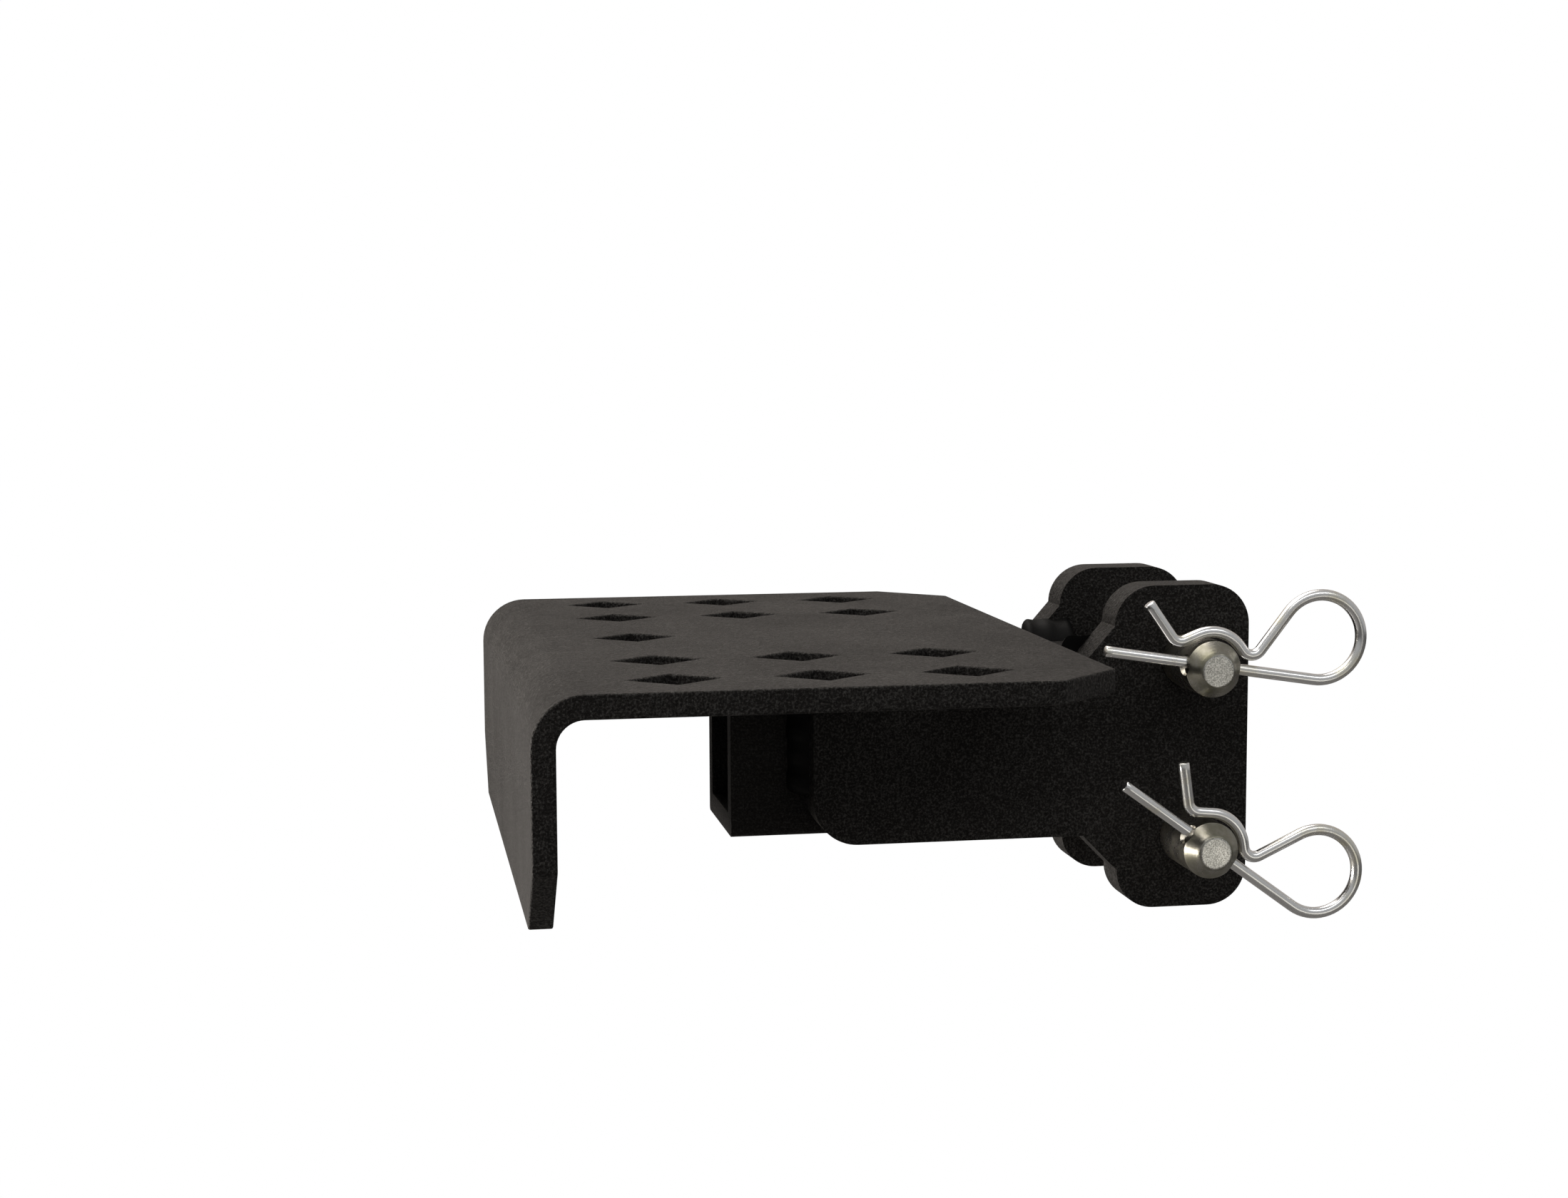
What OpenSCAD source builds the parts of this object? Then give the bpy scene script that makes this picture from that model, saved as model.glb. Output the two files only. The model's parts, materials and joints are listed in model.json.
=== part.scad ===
// Hitch step: a perforated, bent tread plate on a tube spine, with two cheek
// plates that form a clevis, two round pins and two hairpin clips.
// Millimetres. +Z up, +X towards the towing vehicle, +Y across the vehicle.
// The origin is the upper pin's axis, midway between the cheek plates.

/* [Tread plate] */
// Thickness of the bent tread plate
tread_t = 6.35; // [4:0.05:10]
// Length of the tread from the flange's outer face to the front edge
tread_length = 152; // [100:1:220]
// Width of the tread across the vehicle
tread_width = 222.5; // [150:0.5:320]
// Height of the walking surface above the upper pin's axis
tread_top = 6.3; // [0:0.1:20]
// Distance from the flange's outer face to the pins' axes
tread_reach = 191.9; // [150:0.1:260]
// Inside radius of the bend
bend_r = 7.1; // [3:0.1:15]
// Overall depth of the down-turned flange
flange_depth = 61.5; // [30:0.5:100]
// Leg of the corner chamfers at the tread's front edge
front_chamfer = 18.8; // [5:0.1:35]
// Leg of the corner chamfers at the flange's lower edge
flange_chamfer = 17.6; // [5:0.1:35]

/* [Grip holes] */
// Distance between neighbouring columns of holes
hole_pitch = 37.9; // [25:0.1:60]
// Distance from the middle row to the inner rows
row_inner = 50.8; // [30:0.1:80]
// Distance from the middle row to the outer rows
row_outer = 88.7; // [60:0.1:110]
// Half length of a diamond hole along X
hole_half_x = 12; // [5:0.1:18]
// Half length of a diamond hole along Y
hole_half_y = 10; // [5:0.1:18]

/* [Spine tube] */
// Outside width of the rectangular tube, which is also the clevis gap
tube_w = 42.8; // [30:0.1:80]
// Outside height of the rectangular tube
tube_h = 48.8; // [30:0.1:80]
// Wall thickness of the tube
tube_wall = 6; // [2:0.1:8]
// Outside corner radius of the tube
tube_r = 1.5; // [0.5:0.1:4]
// Distance from the flange's outer face to the tube's open end
tube_setback = 62.2; // [20:0.1:100]
// X position of the tube's end inside the clevis
tube_front_x = -17.6; // [-30:0.1:-14]

/* [Cheek plates] */
// Thickness of a cheek plate
cheek_t = 12.7; // [6:0.1:20]
// X position of the cheeks' rear edge
cheek_rear_x = -108.3; // [-150:0.1:-60]
// X position of the cheeks' front edge
cheek_front_x = 17.9; // [12:0.1:40]
// Height of the ears' upper edge above the upper pin's axis
ear_top = 21.4; // [15:0.1:40]
// Depth of the ears' lower edge below the lower pin's axis
ear_bottom = 20.4; // [15:0.1:40]
// Corner radius of the ears
ear_r = 11.4; // [4:0.1:15]
// Radius of the lower ears' rear corner
ear_foot_r = 10.8; // [4:0.1:15]
// Radius of the cheeks' lower rear corner
cheek_r = 12.7; // [4:0.1:20]

/* [Pins] */
// Diameter of the hitch pins
pin_d = 15.7; // [10:0.1:25]
// Vertical distance between the two pins
pin_spacing = 50.8; // [35:0.1:80]
// Radial running clearance of a pin in its bores
pin_clearance = 0.08; // [0.02:0.01:0.1]
// Distance from the near cheek's outer face to the pin's tip
pin_stickout = 25.2; // [15:0.1:40]
// Diameter of the pin's head
pin_head_d = 25.4; // [18:0.1:40]
// Thickness of the pin's head
pin_head_t = 6.4; // [3:0.1:12]
// Diameter of the cross hole for the clip
cross_hole_d = 4.8; // [3:0.1:7]

/* [Clips] */
// Diameter of the clip's wire
wire_d = 3.2; // [2:0.1:5]
// Distance from the near cheek's outer face to the clip's plane
clip_stickout = 18.7; // [10:0.1:30]
// Downward tilt of the upper clip's straight leg
clip_tilt_upper = 8.9; // [0:0.1:60]
// Downward tilt of the lower clip's straight leg
clip_tilt_lower = 36.2; // [0:0.1:60]

/* [Welds] */
// Leg length of the fillet welds
weld_leg = 5.5; // [3:0.1:8]

/* [Hidden] */
gap_half = tube_w / 2;
cheek_out = gap_half + cheek_t;
tread_bottom = tread_top - tread_t;
tread_rear_x = -tread_reach;
tread_front_x = tread_rear_x + tread_length;
tread_half = tread_width / 2;
flange_low = tread_top - flange_depth;
tube_rear_x = tread_rear_x + tube_setback;
tube_top = tread_bottom;
tube_low = tube_top - tube_h;
// The cheeks reach this far below the tube
cheek_drop = 0.8;
cheek_low = tube_low - cheek_drop;
tube_bore_r = 1;
ear_low = -pin_spacing - ear_bottom;
// Height of the upright beads' lower ends above the tube's lower face
end_margin = 5;
// Rear edges of the two ears, and the heights where their slopes end
ear_rear_up = -21.7;
ear_rear_low = -20.5;
slope_x = -30.6;
slope_up_z = 10.1;
slope_low_z = -60;
bore_r = pin_d / 2 + pin_clearance;
// Pin along Y: tip, shoulder and head
tip_y = -cheek_out - pin_stickout;
nose_len = 4.2;
shoulder_y = tip_y + nose_len;
head_y = cheek_out + 0.4;
clip_y = -cheek_out - clip_stickout;
wire_r = wire_d / 2;
// The leg is drawn up against the top of its cross hole
leg_rise = cross_hole_d / 2 - wire_r - 0.06;
// Clip outline in its own plane: x along the leg, z above it
leg_tip_x = -31;
loop_x = 30.2;
loop_r = 11.9;
dip_r = 3.2;
dip_front = [10.6, 4.4];
dip_rear = [-10.4, 5.5];
hump_r = 10.2;
flare_angle = 134;
flare_len = 11.5;
wire_sides = 20;
flex_gap = 0.4;
steel_black = [0.16, 0.16, 0.16];
bead_black = [0.2, 0.2, 0.19];
steel_bright = [0.78, 0.77, 0.72];
wire_bright = [0.85, 0.84, 0.8];

// ---------- helpers ----------

// Extrudes an XZ outline along Y, from y0 to y1
module along_y(y0, y1) {
    translate([0, y1, 0])
        rotate([90, 0, 0])
            linear_extrude(y1 - y0)
                children();
}

// Extrudes a YZ outline along X, from x0 to x1
module along_x(x0, x1) {
    translate([x0, 0, 0])
        rotate([90, 0, 90])
            linear_extrude(x1 - x0)
                children();
}

// Rectangle from corner a to corner b with round corners of radius r
module round_rect(a, b, r) {
    translate([a.x + r, a.y])
        square([b.x - a.x - 2 * r, b.y - a.y]);
    translate([a.x, a.y + r])
        square([b.x - a.x, b.y - a.y - 2 * r]);
    for (x = [a.x + r, b.x - r])
        for (z = [a.y + r, b.y - r])
            translate([x, z])
                circle(r, $fn = 48);
}

// Convex fillet bead section in the corner at the origin, legs along +x and +y
module bead_section(leg) {
    polygon([[0, 0], [leg, 0], [leg * 0.94, leg * 0.3], [leg * 0.72, leg * 0.57],
        [leg * 0.57, leg * 0.72], [leg * 0.3, leg * 0.94], [0, leg]]);
}

// ---------- tread ----------

module tread_outline() {
    ro = bend_r + tread_t;
    translate([tread_rear_x + ro, tread_bottom])
        square([tread_length - ro, tread_t]);
    translate([tread_rear_x, flange_low])
        square([tread_t, flange_depth - ro]);
    intersection() {
        translate([tread_rear_x, tread_top - ro])
            square([ro, ro]);
        translate([tread_rear_x + ro, tread_top - ro])
            difference() {
                circle(ro, $fn = 96);
                circle(bend_r, $fn = 96);
            }
    }
}

module diamond(x, y) {
    translate([x, y, tread_bottom - 1])
        linear_extrude(tread_t + 2)
            polygon([[-hole_half_x, 0], [0, -hole_half_y],
                [hole_half_x, 0], [0, hole_half_y]]);
}

module tread_plate() {
    color(steel_black)
        difference() {
            along_y(-tread_half, tread_half)
                tread_outline();
            for (s = [-1, 1]) {
                translate([tread_front_x, s * tread_half, tread_bottom - 1])
                    linear_extrude(tread_t + 2)
                        polygon([[-front_chamfer, 0], [0, -s * front_chamfer],
                            [1, -s * front_chamfer], [1, s], [-front_chamfer, s]]);
                translate([tread_rear_x - 1, s * tread_half, flange_low])
                    rotate([90, 0, 90])
                        linear_extrude(tread_t + 2)
                            polygon([[0, flange_chamfer], [-s * flange_chamfer, 0],
                                [-s * flange_chamfer, -1], [s, -1],
                                [s, flange_chamfer]]);
            }
            for (c = [1, 2, 3])
                for (y = [-row_outer, -row_inner, row_inner, row_outer])
                    diamond(tread_rear_x + c * hole_pitch, y);
            diamond(tread_rear_x + hole_pitch, 0);
        }
}

// ---------- spine and cheeks ----------

module tube_outer() {
    round_rect([-gap_half, tube_low], [gap_half, tube_top], tube_r);
}

module spine_tube() {
    w = tube_wall;
    color(steel_black)
        along_x(tube_rear_x, tube_front_x)
            difference() {
                tube_outer();
                round_rect([-gap_half + w, tube_low + w],
                    [gap_half - w, tube_top - w], tube_bore_r);
            }
}

// Side view of a cheek plate: body, two ears and the pin bores
module cheek_outline() {
    r = ear_r;
    difference() {
        union() {
            polygon([[cheek_rear_x, tube_top], [cheek_rear_x, cheek_low + cheek_r],
                [cheek_rear_x + cheek_r, cheek_low], [slope_x, cheek_low],
                [ear_rear_low, slope_low_z], [ear_rear_low, ear_low + ear_foot_r],
                [ear_rear_low + ear_foot_r, ear_low], [cheek_front_x - r, ear_low],
                [cheek_front_x, ear_low + r], [cheek_front_x, ear_top - r],
                [cheek_front_x - r, ear_top], [ear_rear_up + r, ear_top],
                [ear_rear_up, ear_top - r], [ear_rear_up, slope_up_z],
                [slope_x, tube_top]]);
            translate([cheek_rear_x + cheek_r, cheek_low + cheek_r])
                circle(cheek_r, $fn = 64);
            translate([ear_rear_low + ear_foot_r, ear_low + ear_foot_r])
                circle(ear_foot_r, $fn = 64);
            translate([cheek_front_x - r, ear_low + r])
                circle(r, $fn = 64);
            translate([cheek_front_x - r, ear_top - r])
                circle(r, $fn = 64);
            translate([ear_rear_up + r, ear_top - r])
                circle(r, $fn = 64);
        }
        for (z = [0, -pin_spacing])
            translate([0, z])
                circle(bore_r, $fn = 96);
    }
}

module cheek(side) {
    color(steel_black)
        along_y(side < 0 ? -cheek_out : gap_half, side < 0 ? -gap_half : cheek_out)
            cheek_outline();
}

module cheek_near() {
    cheek(-1);
}

module cheek_far() {
    cheek(1);
}

// ---------- welds ----------

// Bead between the tube's top and a cheek's inner face, inside the clevis
module weld_pocket(side) {
    color(bead_black)
        difference() {
            along_x(tread_front_x + 6, tube_front_x)
                translate([side * gap_half, tube_top])
                    scale([-side, 1])
                        union() {
                            bead_section(weld_leg + 0.7);
                            translate([0, -tube_r])
                                square([tube_r, tube_r]);
                        }
            along_x(tread_front_x, 0)
                tube_outer();
        }
}

module weld_pocket_near() {
    weld_pocket(-1);
}

module weld_pocket_far() {
    weld_pocket(1);
}

// Upright beads between the tube's front end and the cheeks' inner faces
module weld_pocket_end() {
    color(bead_black)
        for (s = [-1, 1])
            translate([tube_front_x, s * gap_half, tube_low + end_margin])
                linear_extrude(tube_h - end_margin - 1)
                    scale([1, -s])
                        bead_section(weld_leg);
}

// Bead across the tube's top, along the tread's front edge
module weld_tread_front() {
    color(bead_black)
        along_y(-gap_half + weld_leg + 1.2, gap_half - weld_leg - 1.2)
            translate([tread_front_x, tube_top])
                bead_section(weld_leg - 0.5);
}

// Bead between a cheek's outer face and the tread's underside
module weld_tread(side) {
    color(bead_black)
        along_x(cheek_rear_x + 2, tread_front_x - 2)
            translate([side * cheek_out, tread_bottom])
                scale([side, -1])
                    bead_section(weld_leg);
}

module weld_tread_near() {
    weld_tread(-1);
}

module weld_tread_far() {
    weld_tread(1);
}

// Beads between the tube's sides and the tread, behind the cheeks
module weld_tread_tube() {
    color(bead_black)
        for (s = [-1, 1])
            difference() {
                along_x(tube_rear_x + 2, cheek_rear_x - weld_leg)
                    translate([s * gap_half, tread_bottom])
                        scale([s, -1])
                            union() {
                                bead_section(weld_leg);
                                translate([-tube_r, 0])
                                    square([tube_r, tube_r]);
                            }
                along_x(tube_rear_x, cheek_rear_x)
                    tube_outer();
            }
}

// Upright bead between the tube's side and a cheek's rear edge
module weld_rear(side) {
    color(bead_black)
        translate([cheek_rear_x, side * gap_half, cheek_low + cheek_r])
            linear_extrude(tube_h - cheek_r - tube_r)
                scale([-1, side])
                    bead_section(weld_leg);
}

module weld_rear_near() {
    weld_rear(-1);
}

module weld_rear_far() {
    weld_rear(1);
}

// Low seams along the tube's lower corners, flush with the cheeks' lower edges
module weld_underside() {
    color(bead_black)
        for (s = [-1, 1])
            difference() {
                along_x(cheek_rear_x + cheek_r, slope_x)
                    translate([s * gap_half, cheek_low])
                        scale([-s, 1])
                            polygon([[0, 0], [weld_leg, cheek_drop],
                                [weld_leg, cheek_drop + tube_r], [0, cheek_drop + tube_r]]);
                along_x(cheek_rear_x, 0)
                    tube_outer();
            }
}

// ---------- pins ----------

// Section of a pin, radius along x and length along y from the tip
module pin_section() {
    r = pin_d / 2;
    span = head_y - tip_y;
    polygon([[0, 0], [3.9, 0], [4.5, 0.1], [5, 0.45], [5.35, 1],
        [r - 0.4, nose_len - 0.55], [r, nose_len],
        [r, span], [pin_head_d / 2 - 1.2, span], [pin_head_d / 2, span + 1.2],
        [pin_head_d / 2, span + pin_head_t - 1.6],
        [pin_head_d / 2 - 1.6, span + pin_head_t], [0, span + pin_head_t]]);
}

// Cross hole with a countersink at each mouth, along x in the clip's plane
module cross_hole() {
    r = cross_hole_d / 2;
    rotate([0, 90, 0])
        translate([0, 0, -pin_d])
            cylinder(r = r, h = 2 * pin_d, $fn = 48);
    for (a = [0, 180])
        rotate([0, 90 + a, 0])
            translate([0, 0, pin_d / 2 - 1.2])
                cylinder(r1 = r, r2 = r + 1.8, h = 1.8, $fn = 48);
}

module pin(z, tilt) {
    color(steel_bright)
        translate([0, 0, z])
            difference() {
                translate([0, tip_y, 0])
                    rotate([-90, 0, 0])
                        rotate_extrude($fn = 96)
                            pin_section();
                translate([0, clip_y, 0])
                    rotate([0, tilt, 0])
                        cross_hole();
            }
}

module pin_upper() {
    pin(0, clip_tilt_upper);
}

module pin_lower() {
    pin(-pin_spacing, clip_tilt_lower);
}

// ---------- clips ----------

// Points of an arc about c, from angle a0 to a1
function arc(c, r, a0, a1, n) =
    [for (i = [0:n]) c + r * [cos(a0 + (a1 - a0) * i / n), sin(a0 + (a1 - a0) * i / n)]];

// Angle, seen from circle a (turned anticlockwise), of the tangent that
// crosses to circle b (turned clockwise)
function cross_tangent(a, ra, b, rb) =
    let (d = b - a, l = norm(d))
        atan2(d.y, d.x) - acos(min(1, (ra + rb) / l));

loop_c = [loop_x, loop_r];
dip_front_c = dip_front + [0, dip_r];
dip_rear_c = dip_rear + [0, dip_r];
pin_c = [0, -leg_rise];
loop_out = cross_tangent(loop_c, loop_r, dip_front_c, dip_r);
hump_dir = atan2(dip_front_c.y - pin_c.y, dip_front_c.x - pin_c.x);
hump_slack = acos(min(1, (hump_r + dip_r) / norm(dip_front_c - pin_c)));
rear_dir = atan2(dip_rear_c.y - pin_c.y, dip_rear_c.x - pin_c.x);
rear_slack = acos(min(1, (hump_r + dip_r) / norm(dip_rear_c - pin_c)));
flare_c = dip_rear_c + dip_r * [cos(flare_angle + 90), sin(flare_angle + 90)];

// Straight leg and the lower half of the loop
leg_path = concat([[leg_tip_x, 0], [leg_tip_x / 2, 0], [0, 0], [loop_x / 2, 0]],
    arc(loop_c, loop_r, -90, 0, 16));

// Upper half of the loop, the two dips over the hump, and the flared end
arm_path = concat(arc(loop_c, loop_r, 0, loop_out + 360, 20),
    arc(dip_front_c, dip_r, loop_out + 180, hump_dir + hump_slack - 180, 10),
    arc(pin_c, hump_r, hump_dir + hump_slack, rear_dir - rear_slack, 12),
    arc(dip_rear_c, dip_r, rear_dir - rear_slack - 180, flare_angle - 270, 10),
    [flare_c + flare_len * [cos(flare_angle), sin(flare_angle)]]);

// Round wire along a flat path, one ring of points at each path point
module wire(path) {
    n = len(path);
    m = wire_sides;
    dirs = [for (i = [0:n - 1])
        let (d = path[min(i + 1, n - 1)] - path[max(i - 1, 0)])
            d / norm(d)];
    rings = [for (i = [0:n - 1])
        for (k = [0:m - 1])
            let (a = 360 * k / m, u = wire_r * cos(a))
                [path[i].x - dirs[i].y * u, wire_r * sin(a), path[i].y + dirs[i].x * u]];
    sides = [for (i = [0:n - 2])
        for (k = [0:m - 1])
            let (p = i * m + k, q = i * m + (k + 1) % m)
                [p, q, q + m, p + m]];
    ends = [[for (k = [m - 1:-1:0]) k], [for (k = [0:m - 1]) (n - 1) * m + k]];
    polyhedron(rings, concat(sides, ends), convexity = 6);
}

// Places a clip's outline on its pin
module on_pin(z, tilt) {
    color(wire_bright)
        translate([0, clip_y, z])
            rotate([0, tilt, 0])
                translate([0, 0, leg_rise])
                    children();
}

module clip_upper_leg() {
    on_pin(0, clip_tilt_upper)
        wire(leg_path);
}

module clip_upper_arm() {
    on_pin(0, clip_tilt_upper)
        translate([0, 0, flex_gap])
            wire(arm_path);
}

module clip_lower_leg() {
    on_pin(-pin_spacing, clip_tilt_lower)
        wire(leg_path);
}

module clip_lower_arm() {
    on_pin(-pin_spacing, clip_tilt_lower)
        translate([0, 0, flex_gap])
            wire(arm_path);
}

tread_plate();
spine_tube();
cheek_near();
cheek_far();
weld_pocket_near();
weld_pocket_far();
weld_pocket_end();
weld_tread_front();
weld_tread_near();
weld_tread_far();
weld_tread_tube();
weld_rear_near();
weld_rear_far();
weld_underside();
pin_upper();
pin_lower();
clip_upper_leg();
clip_upper_arm();
clip_lower_leg();
clip_lower_arm();
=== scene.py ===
"""Looks of the hitch step: bevelled black plates, weld beads, turned steel pins and
bent-wire clips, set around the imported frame. Lengths are in metres unless noted."""
import json
import math

import bmesh
import bpy
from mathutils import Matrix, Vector


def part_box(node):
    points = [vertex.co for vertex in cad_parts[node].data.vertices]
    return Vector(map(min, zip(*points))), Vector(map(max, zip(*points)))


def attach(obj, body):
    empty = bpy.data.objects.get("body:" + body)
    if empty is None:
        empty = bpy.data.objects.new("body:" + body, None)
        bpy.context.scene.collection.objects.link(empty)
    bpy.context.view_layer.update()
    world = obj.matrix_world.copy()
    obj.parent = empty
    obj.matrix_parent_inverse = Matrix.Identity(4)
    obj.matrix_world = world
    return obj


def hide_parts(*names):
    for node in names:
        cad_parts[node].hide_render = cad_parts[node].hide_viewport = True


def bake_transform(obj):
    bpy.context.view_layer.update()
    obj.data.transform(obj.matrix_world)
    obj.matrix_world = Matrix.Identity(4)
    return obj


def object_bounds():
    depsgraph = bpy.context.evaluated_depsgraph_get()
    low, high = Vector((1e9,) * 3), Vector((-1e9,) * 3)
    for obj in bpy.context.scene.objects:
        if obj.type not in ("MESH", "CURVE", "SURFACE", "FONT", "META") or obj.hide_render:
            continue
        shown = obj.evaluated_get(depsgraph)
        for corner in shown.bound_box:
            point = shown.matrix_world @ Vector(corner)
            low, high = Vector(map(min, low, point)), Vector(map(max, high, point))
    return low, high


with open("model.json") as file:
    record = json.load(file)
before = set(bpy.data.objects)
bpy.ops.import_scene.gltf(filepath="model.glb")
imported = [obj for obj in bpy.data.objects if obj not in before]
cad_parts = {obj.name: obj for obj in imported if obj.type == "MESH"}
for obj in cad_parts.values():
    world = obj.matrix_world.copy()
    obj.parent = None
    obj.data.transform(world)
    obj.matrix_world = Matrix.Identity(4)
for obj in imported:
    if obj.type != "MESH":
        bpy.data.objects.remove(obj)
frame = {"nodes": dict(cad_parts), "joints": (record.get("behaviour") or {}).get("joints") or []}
cad_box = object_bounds()
NODES = frame["nodes"]
JOINTS = {j["name"]: j for j in frame["joints"]}
MM = 0.001
WHITE = (1, 1, 1, 1)

X, Y, Z = Vector((1, 0, 0)), Vector((0, 1, 0)), Vector((0, 0, 1))


# ---------- camera, floor and lights ----------

def make_camera():
    data = bpy.data.cameras.new("camera")
    data.lens = 56.06
    data.sensor_width = 36.0
    data.clip_start, data.clip_end = 0.01, 50.0
    cam = bpy.data.objects.new("camera", data)
    cam.location = (-0.2303, -0.6922, 0.0908)
    cam.rotation_euler = [math.radians(a) for a in (83.948, 0.268, -9.844)]
    bpy.context.collection.objects.link(cam)
    bpy.context.scene.camera = cam


def aim(obj, target):
    """Turns a light's or camera's view axis to the target."""
    obj.rotation_mode = "QUATERNION"
    obj.rotation_quaternion = (Vector(target) - obj.location).to_track_quat("-Z", "Y")


def softbox(name, place, target, width, height, watts, colour=(1, 1, 1)):
    """A rectangular area light at `place` that faces `target`."""
    data = bpy.data.lights.new(name, "AREA")
    data.shape = "RECTANGLE"
    data.size, data.size_y = width, height
    data.energy = watts
    data.color = colour
    obj = bpy.data.objects.new(name, data)
    obj.location = place
    bpy.context.collection.objects.link(obj)
    aim(obj, target)


# Strength of the room in reflections, in front of and behind the object, and its tint
ROOM_FRONT, ROOM_BACK = 0.34, 0.42
ROOM_WARM = (1.0, 0.90, 0.82)
FLOOR_HALF = 6.0


def make_world():
    """White to look at, but dim, and brighter behind the object, in reflections."""
    world = bpy.data.worlds.new("studio")
    bpy.context.scene.world = world
    world.use_nodes = True
    g = Graph(world.node_tree)
    seen = g.new("ShaderNodeBackground", Color=WHITE, Strength=1.0)
    room = g.new("ShaderNodeBackground", Strength=1.0)
    coord = g.new("ShaderNodeTexCoord")
    split = g.new("ShaderNodeSeparateXYZ")
    g.link(coord, "Generated", split, "Vector")
    depth = g.out(split, "Y")
    g.link(g.maprange(depth, -0.7, 0.9, ROOM_FRONT, ROOM_BACK), 0, room, "Strength")
    tone = g.ramp(g.maprange(depth, -0.3, 0.9, 0.0, 1.0), [(0.0, (1, 1, 1)), (1.0, ROOM_WARM)])
    g.link(tone, 0, room, "Color")
    g.seen_as(seen, room, "ShaderNodeOutputWorld")


def make_floor(drop):
    """A white paper floor below the object, which throws little light back at it."""
    h = FLOOR_HALF
    z = cad_box[0].z - drop
    mesh = bpy.data.meshes.new("floor")
    mesh.from_pydata([(-h, -h, z), (h, -h, z), (h, h, z), (-h, h, z)], [], [(0, 1, 2, 3)])
    floor = bpy.data.objects.new("floor", mesh)
    bpy.context.collection.objects.link(floor)
    mat, g = material("floor_paper")
    paper = g.new("ShaderNodeBsdfDiffuse", Color=(0.17, 0.168, 0.165, 1))
    glow = g.new("ShaderNodeEmission", Color=WHITE, Strength=1.0)
    g.seen_as(glow, paper, "ShaderNodeOutputMaterial")
    mesh.materials.append(mat)


# ---------- node helpers ----------

class Graph:
    """Short calls for building a node tree."""

    def __init__(self, tree):
        self.tree = tree
        tree.nodes.clear()

    def new(self, kind, **inputs):
        node = self.tree.nodes.new(kind)
        for name, value in inputs.items():
            node.inputs[name].default_value = value
        return node

    def out(self, node, socket=0):
        return node.outputs[socket]

    def link(self, a, a_socket, b, b_socket):
        self.tree.links.new(a.outputs[a_socket], b.inputs[b_socket])

    def principled(self, roughness=0.5, metallic=0.0, specular=0.5):
        bsdf = self.new("ShaderNodeBsdfPrincipled")
        bsdf.inputs["Roughness"].default_value = roughness
        bsdf.inputs["Metallic"].default_value = metallic
        bsdf.inputs["Specular IOR Level"].default_value = specular
        end = self.new("ShaderNodeOutputMaterial")
        self.link(bsdf, 0, end, "Surface")
        return bsdf

    def seen_as(self, seen, lit, output):
        """Shows one shader to the camera, and lights the scene with another."""
        path = self.new("ShaderNodeLightPath")
        mix = self.new("ShaderNodeMixShader")
        self.link(path, "Is Camera Ray", mix, 0)
        self.link(lit, 0, mix, 1)
        self.link(seen, 0, mix, 2)
        self.link(mix, 0, self.new(output), "Surface")

    def coords(self, shift=(0, 0, 0)):
        coord = self.new("ShaderNodeTexCoord")
        mapping = self.new("ShaderNodeMapping")
        mapping.inputs["Location"].default_value = shift
        self.link(coord, "Object", mapping, "Vector")
        return mapping

    def noise(self, scale, detail=3, roughness=0.5):
        node = self.new("ShaderNodeTexNoise", Scale=scale, Detail=detail, Roughness=roughness)
        self.link(self.coords(), 0, node, "Vector")
        return node

    def ramp(self, source, stops):
        """Colours for a node's first output, as (place, colour) stops."""
        node = self.new("ShaderNodeValToRGB")
        element = node.color_ramp.elements
        while len(element) < len(stops):
            element.new(0.5)
        for e, (place, colour) in zip(element, stops):
            e.position = place
            e.color = (*colour, 1)
        self.link(source, 0, node, "Fac")
        return node

    def math(self, operation, a, b=None):
        """One maths node, on sockets or numbers."""
        node = self.new("ShaderNodeMath")
        node.operation = operation
        for socket, value in zip(node.inputs, (a, b)):
            if isinstance(value, (int, float)):
                socket.default_value = value
            elif value is not None:
                self.tree.links.new(value, socket)
        return node

    def maprange(self, source, a0, a1, b0, b1):
        node = self.new("ShaderNodeMapRange")
        self.tree.links.new(source, node.inputs["Value"])
        for name, value in (("From Min", a0), ("From Max", a1), ("To Min", b0), ("To Max", b1)):
            node.inputs[name].default_value = value
        return node

    def mix(self, factor, a, b):
        """Mixes two colours, each a node or a tuple."""
        node = self.new("ShaderNodeMix")
        node.data_type = "RGBA"
        self.link(factor, 0, node, 0)
        for value, socket in ((a, 6), (b, 7)):
            if isinstance(value, tuple):
                node.inputs[socket].default_value = (*value, 1)
            else:
                self.tree.links.new(value.outputs[2 if value.type == "MIX" else 0],
                                    node.inputs[socket])
        return node

    def bump(self, height, distance, strength=1.0, under=None):
        node = self.new("ShaderNodeBump", Distance=distance, Strength=strength)
        self.link(height, 0, node, "Height")
        if under is not None:
            self.link(under, 0, node, "Normal")
        return node


def material(name):
    mat = bpy.data.materials.new(name)
    mat.use_nodes = True
    return mat, Graph(mat.node_tree)


# ---------- materials ----------

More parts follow.
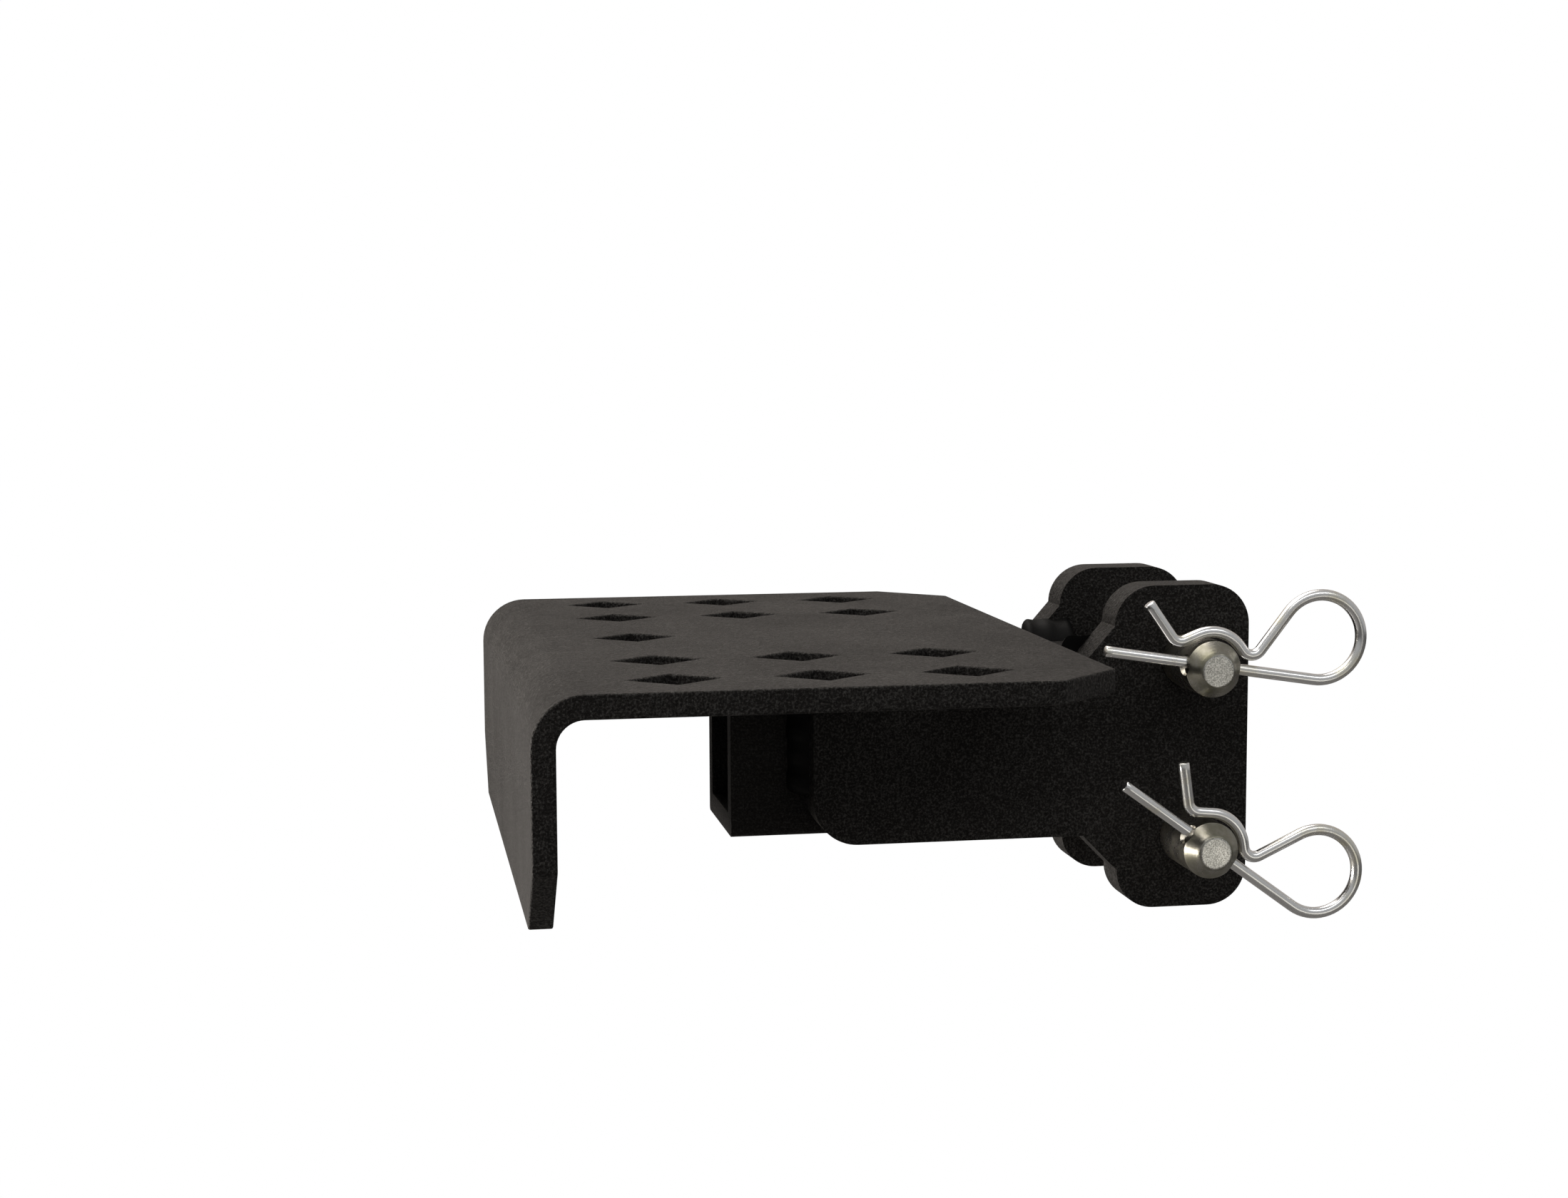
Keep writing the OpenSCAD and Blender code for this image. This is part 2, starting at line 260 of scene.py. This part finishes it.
def powder_coat(name, dark, pale, rough, grain=1.0):
    """Black powder coat: warm pale specks painted into the colour as glints, a fine wrinkle and
    a little cloudiness.
    """
    mat, g = material(name)
    bsdf = g.principled(roughness=rough, specular=0.17)
    bsdf.inputs["Specular Tint"].default_value = (1.0, 0.92, 0.86, 1)
    cloud = g.noise(26, detail=5, roughness=0.6)
    # Painted glints: pale specks in the base colour stand in for the sparkle of the coat's
    # texture.
    glint_speck = g.noise(1500, detail=2, roughness=0.7)
    blotch = g.noise(520, detail=2, roughness=0.6)
    glint_level = glint_speck
    for part, share in ((cloud, 0.16), (blotch, 0.2)):
        glint_level = g.math("ADD", g.out(glint_level), g.out(g.math("MULTIPLY", g.out(part), share)))
    glint_mask = g.ramp(glint_level, [(0.64, (0, 0, 0)), (0.88, (1, 1, 1))])
    g.link(g.mix(glint_mask, dark, pale), 2, bsdf, "Base Color")
    rough_mix = g.maprange(g.out(cloud), 0.3, 0.7, rough + 0.04, rough - 0.03)
    g.link(rough_mix, 0, bsdf, "Roughness")
    wrinkle = g.noise(1100, detail=3, roughness=0.7)
    first = g.bump(blotch, 0.0004 * grain, 0.8)
    second = g.bump(wrinkle, 0.0008 * grain, 1.0, under=first)
    g.link(second, 0, bsdf, "Normal")
    return mat


def weld_coat(name):
    """Powder coat on a weld bead: blacker than on the plates, without their specks."""
    mat, g = material(name)
    bsdf = g.principled(roughness=0.55, specular=0.1)
    cloud = g.noise(160, detail=4)
    tone = g.ramp(cloud, [(0.3, (0.002, 0.002, 0.002)), (0.8, (0.006, 0.0058, 0.0054))])
    g.link(tone, 0, bsdf, "Base Color")
    rough_mix = g.maprange(g.out(cloud), 0.3, 0.7, 0.46, 0.62)
    g.link(rough_mix, 0, bsdf, "Roughness")
    fine = g.noise(1400, detail=3)
    g.link(g.bump(fine, 0.0001, 0.5), 0, bsdf, "Normal")
    return mat


# A pin's nose: its length, and the radius of its flat face, which is painted pale as a
# reflection, with the edge's blur
NOSE_LENGTH = 4.2 * MM
NOSE_FACE = 4.4 * MM
FACE_BLUR = 0.1 * MM


def turned_steel(name, axis_z, tip_y):
    """Plated turned steel with lathe rings about the pin's axis. The nose, from tip_y
    to the shoulder, is painted darker as painted shade, and its flat face is grainy and painted
    pale as a painted reflection."""
    mat, g = material(name)
    bsdf = g.principled(roughness=0.3, metallic=1.0)
    place = g.coords(shift=(0, 0, -axis_z))
    split = g.new("ShaderNodeSeparateXYZ")
    g.link(place, 0, split, 0)
    squares = g.math("ADD", g.out(g.math("MULTIPLY", g.out(split, 0), g.out(split, 0))),
                     g.out(g.math("MULTIPLY", g.out(split, 2), g.out(split, 2))))
    radius = g.math("SQRT", g.out(squares))
    along = g.math("ADD", g.out(radius), g.out(g.math("MULTIPLY", g.out(split, 1), 0.8)))
    rings = g.new("ShaderNodeTexNoise", Scale=2200, Detail=3, Roughness=0.6)
    rings.noise_dimensions = "1D"
    g.link(along, 0, rings, "W")
    cloud = g.noise(190, detail=4, roughness=0.6)
    tone = g.ramp(cloud, [(0.28, (0.34, 0.315, 0.255)), (0.52, (0.47, 0.45, 0.39)),
                          (0.78, (0.60, 0.59, 0.55))])
    pits = g.noise(1500, detail=2, roughness=0.7)
    pit_mask = g.ramp(pits, [(0.30, (1, 1, 1)), (0.40, (0, 0, 0))])
    colour = g.mix(pit_mask, tone, (0.22, 0.205, 0.17))
    # Painted shade: the nose is a darker copy of the body's tones.
    nose_painted_shade = g.ramp(cloud, [(0.28, (0.20, 0.195, 0.14)), (0.52, (0.30, 0.29, 0.245)),
                               (0.78, (0.42, 0.41, 0.385))])
    shoulder = tip_y + NOSE_LENGTH
    nose = g.maprange(g.out(split, 1), shoulder, shoulder - 0.2 * MM, 0.0, 1.0)
    body = g.mix(nose, colour, nose_painted_shade)
    grain = g.noise(2600, detail=2, roughness=0.7)
    # Painted reflection: the flat face is far paler than the body, over its real grain.
    face_grain_and_painted_reflection = g.ramp(grain, [(0.35, (0.32, 0.315, 0.29)), (0.62, (0.92, 0.91, 0.87))])
    inside = g.maprange(g.out(radius), NOSE_FACE + FACE_BLUR, NOSE_FACE - FACE_BLUR, 0.0, 1.0)
    face = g.math("MULTIPLY", g.out(inside), g.out(nose))
    g.link(g.mix(face, body, face_grain_and_painted_reflection), 2, bsdf, "Base Color")
    rough_mix = g.maprange(g.out(cloud), 0.3, 0.75, 0.36, 0.22)
    g.link(rough_mix, 0, bsdf, "Roughness")
    first = g.bump(rings, 0.00006, 0.55)
    second = g.bump(pits, 0.00005, 0.35, under=first)
    g.link(second, 0, bsdf, "Normal")
    return mat


def plated_wire(name):
    """Bright zinc-plated spring wire with draw marks and a faint yellow cast."""
    mat, g = material(name)
    bsdf = g.principled(roughness=0.24, metallic=1.0)
    cloud = g.noise(120, detail=3)
    tone = g.ramp(cloud, [(0.30, (0.82, 0.79, 0.66)), (0.44, (0.90, 0.90, 0.89)),
                          (0.75, (0.93, 0.94, 0.95))])
    g.link(tone, 0, bsdf, "Base Color")
    rough_mix = g.maprange(g.out(cloud), 0.3, 0.7, 0.30, 0.20)
    g.link(rough_mix, 0, bsdf, "Roughness")
    marks = g.noise(900, detail=3, roughness=0.6)
    g.link(g.bump(marks, 0.000005, 0.05), 0, bsdf, "Normal")
    return mat


# ---------- mesh helpers ----------

def add_mesh(name, points, faces, mat, sharp):
    """A smooth-shaded closed mesh whose faces all point outwards."""
    mesh = bpy.data.meshes.new(name)
    mesh.from_pydata([tuple(p) for p in points], [], faces)
    mesh.validate()
    shell = bmesh.new()
    shell.from_mesh(mesh)
    bmesh.ops.recalc_face_normals(shell, faces=shell.faces)
    shell.to_mesh(mesh)
    shell.free()
    mesh.update()
    for poly in mesh.polygons:
        poly.use_smooth = True
    mesh.set_sharp_from_angle(angle=math.radians(sharp))
    mesh.materials.append(mat)
    obj = bpy.data.objects.new(name, mesh)
    bpy.context.collection.objects.link(obj)
    return obj


def ring_mesh(name, rings, mat, sharp):
    """Closed skin through rings of equal length, with a flat face at each end."""
    m = len(rings[0])
    points = [p for ring in rings for p in ring]
    faces = [(i * m + k, i * m + (k + 1) % m, (i + 1) * m + (k + 1) % m, (i + 1) * m + k)
             for i in range(len(rings) - 1) for k in range(m)]
    last = (len(rings) - 1) * m
    faces.append(tuple(range(m - 1, -1, -1)))
    faces.append(tuple(last + k for k in range(m)))
    return add_mesh(name, points, faces, mat, sharp)


def soften(node, mat, width, angle=35):
    """Gives a CAD node its material and small rounded edges, `width` in mm."""
    obj = NODES[node]
    obj.data.materials.clear()
    obj.data.materials.append(mat)
    for poly in obj.data.polygons:
        poly.material_index = 0
        poly.use_smooth = True
    weld = obj.modifiers.new("join_corners", "WELD")
    weld.merge_threshold = 0.000002
    flat = obj.modifiers.new("merge_flats", "DECIMATE")
    flat.decimate_type = "DISSOLVE"
    flat.angle_limit = math.radians(0.5)
    bevel = obj.modifiers.new("round_edges", "BEVEL")
    bevel.width = width * MM
    bevel.segments = 3
    bevel.limit_method = "ANGLE"
    bevel.angle_limit = math.radians(angle)
    bevel.harden_normals = True
    normals = obj.modifiers.new("even_shading", "WEIGHTED_NORMAL")
    normals.keep_sharp = True


# ---------- weld beads ----------

# In mm: height of the ripples, fade-out length at a bead's ends, how far a bead's edges
# sink into the steel, and how deep its root lies in a rounded corner
RIPPLE = 0.06
END_FADE = 2.6
SINK = 0.3
ROOT = 1.6
# Crown of a bead, as a share of its leg
CROWN = 0.2


def bead(name, start, along, dir_a, dir_b, length, foot_a, foot_b, inner, rise, mat,
         pitch, seed):
    """A rippled weld bead along `along`. Its section lies in the plane of dir_a and
    dir_b: from foot_a, over a crown that stands `rise` proud of the straight line,
    to foot_b, and closed through the hidden point `inner`. All sizes are in mm."""
    steps = max(24, int(length / pitch * 7))
    across = 12
    foot_a, foot_b, inner = Vector(foot_a), Vector(foot_b), Vector(inner)
    chord = foot_b - foot_a
    normal = Vector((chord.y, -chord.x)).normalized()
    if normal.dot((foot_a + foot_b) / 2 - inner) < 0:
        normal.negate()
    rings = []
    for i in range(steps + 1):
        s = length * i / steps
        end = min(s, length - s)
        fade = math.sqrt(max(0.0, 1 - (1 - min(1, end / END_FADE)) ** 2))
        size = 0.45 + 0.55 * fade
        wander = 0.05 * math.sin(s * 0.9 + seed) + 0.04 * math.sin(s * 0.37 + 2 * seed)
        ring = []
        for k in range(across + 1):
            u = k / across
            hump = 4 * u * (1 - u)
            phase = 2 * math.pi * (s / pitch - 0.42 * hump)
            wave = abs(math.cos(phase / 2)) - 0.6
            lift = rise * hump * (1 + wander) * (0.4 + 0.6 * fade)
            lift += RIPPLE * wave * min(1.0, 5 * u * (1 - u)) * fade
            p = foot_a * (1 - u) + foot_b * u + normal * lift
            ring.append(inner + (p - inner) * size * (1 + 0.5 * wander))
        ring.append(inner)
        rings.append([Vector(start) + (along * s + dir_a * p.x + dir_b * p.y) * MM
                      for p in ring])
    return ring_mesh(name, rings, mat, sharp=60)


def make_welds(mat):
    """One bead for each weld; the mirrored pair of a shared CAD node is two beads."""
    tube_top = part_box("spine_tube")[1].z
    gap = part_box("spine_tube")[1].y
    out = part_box("cheek_far")[1].y

    def fillet(name, nodes, start, along, dir_a, dir_b, length, leg, pitch, seed,
               inner=(-SINK, -SINK)):
        obj = bead(name, start, along, dir_a, dir_b, length / MM, (leg / MM, -SINK),
                   (-SINK, leg / MM), inner, CROWN * leg / MM, mat, pitch, seed)
        settle(obj, nodes)

    def settle(obj, nodes):
        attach(obj, "frame")
        if nodes:
            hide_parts(*nodes)

    sides = ((-1, "near"), (1, "far"))
    for side, word in sides:
        node = f"weld_pocket_{word}"
        lo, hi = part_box(node)
        fillet(f"bead_pocket_{word}", [node], (lo.x, side * gap, tube_top), X, Y * -side, Z,
               hi.x - lo.x, hi.z - tube_top, pitch=3.4, seed=side, inner=(-SINK, -ROOT))
    lo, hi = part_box("weld_pocket_end")
    for side, word in sides:
        fillet(f"bead_end_{word}", ["weld_pocket_end"] if side < 0 else [],
               (lo.x, side * gap, lo.z), Z, X, Y * -side, hi.z - lo.z, hi.x - lo.x,
               pitch=2.3, seed=2 + side)
    lo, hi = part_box("weld_tread_front")
    fillet("bead_tread_front", ["weld_tread_front"], (lo.x, lo.y, tube_top), Y, X, Z,
           hi.y - lo.y, hi.x - lo.x, pitch=1.9, seed=4)
    for side, word in sides:
        node = f"weld_tread_{word}"
        lo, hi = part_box(node)
        fillet(f"bead_tread_{word}", [node], (lo.x, side * out, hi.z), X, Y * side, -Z,
               hi.x - lo.x, hi.z - lo.z, pitch=2.2, seed=5 + side)
    lo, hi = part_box("weld_tread_tube")
    for side, word in sides:
        fillet(f"bead_tube_{word}", ["weld_tread_tube"] if side < 0 else [],
               (lo.x, side * gap, hi.z), X, Y * side, -Z, hi.x - lo.x, hi.y - gap,
               pitch=2.2, seed=8 + side, inner=(-ROOT, -SINK))
    for side, word in sides:
        node = f"weld_rear_{word}"
        lo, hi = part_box(node)
        fillet(f"bead_rear_{word}", [node], (hi.x, side * gap, lo.z), Z, -X, Y * side,
               hi.z - lo.z, hi.x - lo.x, pitch=2.3, seed=11 + side)
    # The seams under the tube are low: from the tube's face to the cheek's lower edge
    tube_foot, cheek_foot, root = (5.2, 0.75), (0.05, 0.05), (1.0, 1.9)
    lo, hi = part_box("weld_underside")
    for side, word in sides:
        obj = bead(f"bead_under_{word}", (lo.x, side * gap, lo.z), X, Y * -side, Z,
                   (hi.x - lo.x) / MM, tube_foot, cheek_foot, root, rise=0.35, mat=mat,
                   pitch=2.6, seed=14 + side)
        settle(obj, ["weld_underside"] if side < 0 else [])


# ---------- clips ----------

# Outline of a clip in its own plane, in mm: u along the straight leg from the
# pin's axis, v across it. The same shape as the CAD clips.
LEG_TIP = -31.0
LOOP = (30.2, 11.9)
LOOP_R = 11.9
DIP_R = 3.2
DIP_FRONT = (10.6, 4.4)
DIP_REAR = (-10.4, 5.5)
HUMP_R = 10.2
FLARE_ANGLE = 134.0
FLARE_LEN = 11.5
LEG_RISE = 0.74
# The leg piece ends this far past the loop, where the blend already follows the arm
SEAM_PAST_LOOP = 0.6


def arc(centre, radius, a0, a1, step=6.0):
    """Points about every `step` degrees from angle a0 to angle a1."""
    count = max(2, int(abs(a1 - a0) / step))
    return [(centre[0] + radius * math.cos(math.radians(a0 + (a1 - a0) * i / count)),
             centre[1] + radius * math.sin(math.radians(a0 + (a1 - a0) * i / count)))
            for i in range(count + 1)]


def straight(a, b, step=2.0):
    """Points about every `step` mm from a to b."""
    count = max(1, int(math.dist(a, b) / step))
    return [(a[0] + (b[0] - a[0]) * i / count, a[1] + (b[1] - a[1]) * i / count)
            for i in range(count + 1)]


def joined(*runs):
    """One path from several runs of points, without doubled points."""
    path = []
    for run in runs:
        for p in run:
            if not path or math.dist(p, path[-1]) > 0.05:
                path.append(p)
    return path


def clip_paths():
    """The wire's centre line: the leg with its loop, and the arm from there on."""
    dip_f = (DIP_FRONT[0], DIP_FRONT[1] + DIP_R)
    dip_b = (DIP_REAR[0], DIP_REAR[1] + DIP_R)
    hump = (0.0, -LEG_RISE)

    def polar(a, b):
        return math.degrees(math.atan2(b[1] - a[1], b[0] - a[0]))

    def slack(a, b, radii):
        return math.degrees(math.acos(min(1.0, radii / math.dist(a, b))))

    leave = polar(LOOP, dip_f) - slack(LOOP, dip_f, LOOP_R + DIP_R)
    up = polar(hump, dip_f) + slack(hump, dip_f, HUMP_R + DIP_R)
    down = polar(hump, dip_b) - slack(hump, dip_b, HUMP_R + DIP_R)
    loop = arc(LOOP, LOOP_R, -90, leave + 360)
    front = arc(dip_f, DIP_R, leave + 180, up - 180)
    over = arc(hump, HUMP_R, up, down)
    rear = arc(dip_b, DIP_R, down - 180, FLARE_ANGLE - 270)
    turn = math.radians(FLARE_ANGLE)
    tip = (rear[-1][0] + FLARE_LEN * math.cos(turn), rear[-1][1] + FLARE_LEN * math.sin(turn))
    share = SEAM_PAST_LOOP / math.dist(loop[-1], front[0])
    seam = tuple(a + (b - a) * share for a, b in zip(loop[-1], front[0]))
    leg_part = joined(straight((LEG_TIP, 0.0), loop[0]), loop, [seam])
    arm_part = joined(straight(seam, front[0]), front, straight(front[-1], over[0]), over,
                      straight(over[-1], rear[0]), rear, straight(rear[-1], tip))
    return leg_part, arm_part


def wire(name, path, radius, put, mat, tips):
    """Round wire along a flat path. tips says which ends are cut ends."""
    sides = 28
    chamfer = 0.35

    def ring(i, shrink=1.0, slide=0.0):
        a, b = path[max(i - 1, 0)], path[min(i + 1, len(path) - 1)]
        size = math.dist(a, b)
        du, dv = (b[0] - a[0]) / size, (b[1] - a[1]) / size
        points = []
        for k in range(sides):
            turn = 2 * math.pi * k / sides
            w = radius * shrink * math.cos(turn)
            points.append(put(path[i][0] + du * slide - dv * w,
                              path[i][1] + dv * slide + du * w,
                              radius * shrink * math.sin(turn)))
        return points

    rings = []
    if tips[0]:
        rings += [ring(0, 0.72), ring(0, 0.93, chamfer * 0.35), ring(0, 1.0, chamfer)]
    else:
        rings.append(ring(0))
    rings += [ring(i) for i in range(1, len(path) - 1)]
    last = len(path) - 1
    if tips[1]:
        rings += [ring(last, 1.0, -chamfer), ring(last, 0.93, -chamfer * 0.35),
                  ring(last, 0.72)]
    else:
        rings.append(ring(last))
    return ring_mesh(name, rings, mat, sharp=50)


def make_clip(which, mat):
    """The two pieces of a clip's wire."""
    pull = JOINTS[f"clip_{which}_pull"]["axis"]
    pin = Vector(JOINTS[f"pin_{which}_turn"]["pos_m"])
    lo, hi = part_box(f"clip_{which}_leg")
    plane = (lo.y + hi.y) / 2
    radius = (hi.y - lo.y) / 2 / MM
    along = Vector(pull).normalized()
    across = Vector((-along.z, 0, along.x))

    def put(u, v, w):
        """A point of the outline, `w` out of its plane, in the object's frame."""
        place = along * u + across * (v + LEG_RISE)
        return Vector((pin.x, plane + w * MM, pin.z)) + place * MM

    leg_path, arm_path = clip_paths()
    leg = wire(f"wire_{which}_leg", leg_path, radius, put, mat, (True, False))
    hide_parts(f"clip_{which}_leg")
    arm = wire(f"wire_{which}_arm", arm_path, radius, put, mat, (False, True))
    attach(arm, f"clip_{which}_arm")
    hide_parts(f"clip_{which}_arm")
    # Two points of the loop, which nothing uses: just above the leg's wire, and a little past
    # its own centre
    low = put(LOOP[0], radius + 0.1, 0)
    high = put(LOOP[0], LOOP[1] + 3.5, 0)
    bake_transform(leg)


# ---------- everything ----------

make_camera()
make_world()
make_floor(drop=0.30)
softbox("key_above", (-0.35, 0.30, 1.0), (-0.05, 0, 0), 1.3, 1.0, 12, (1, 0.95, 0.90))
softbox("side_left", (-1.1, 0.15, -0.12), (-0.19, 0, -0.03), 0.8, 0.26, 19, (1, 0.95, 0.90))
softbox("front_strip", (0.1, -0.75, 0.75), (0.02, -0.05, -0.02), 1.2, 0.22, 1.7)
softbox("front_low", (0.27, -0.75, -0.22), (0, -0.06, -0.03), 0.30, 0.20, 0.18,
        (1, 0.97, 0.88))
bpy.context.scene.view_settings.view_transform = "Standard"

coat = powder_coat("coat_plate", (0.0032, 0.0032, 0.0031), (0.056, 0.0545, 0.052), 0.52)
coat_tube = powder_coat("coat_tube", (0.0024, 0.0024, 0.0024), (0.026, 0.0255, 0.025), 0.48,
                        grain=0.6)
soften("tread_plate", coat, width=0.6)
soften("spine_tube", coat_tube, width=0.4)
soften("cheek_near", coat, width=0.6)
soften("cheek_far", coat, width=0.6)
make_welds(weld_coat("coat_weld"))
for pin_word in ("upper", "lower"):
    axis_z = JOINTS[f"pin_{pin_word}_turn"]["pos_m"][2]
    tip_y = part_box(f"pin_{pin_word}")[0].y
    steel = turned_steel(f"steel_{pin_word}", axis_z, tip_y)
    soften(f"pin_{pin_word}", steel, width=0.15, angle=25)
wire_mat = plated_wire("wire_plate")
make_clip("upper", wire_mat)
make_clip("lower", wire_mat)
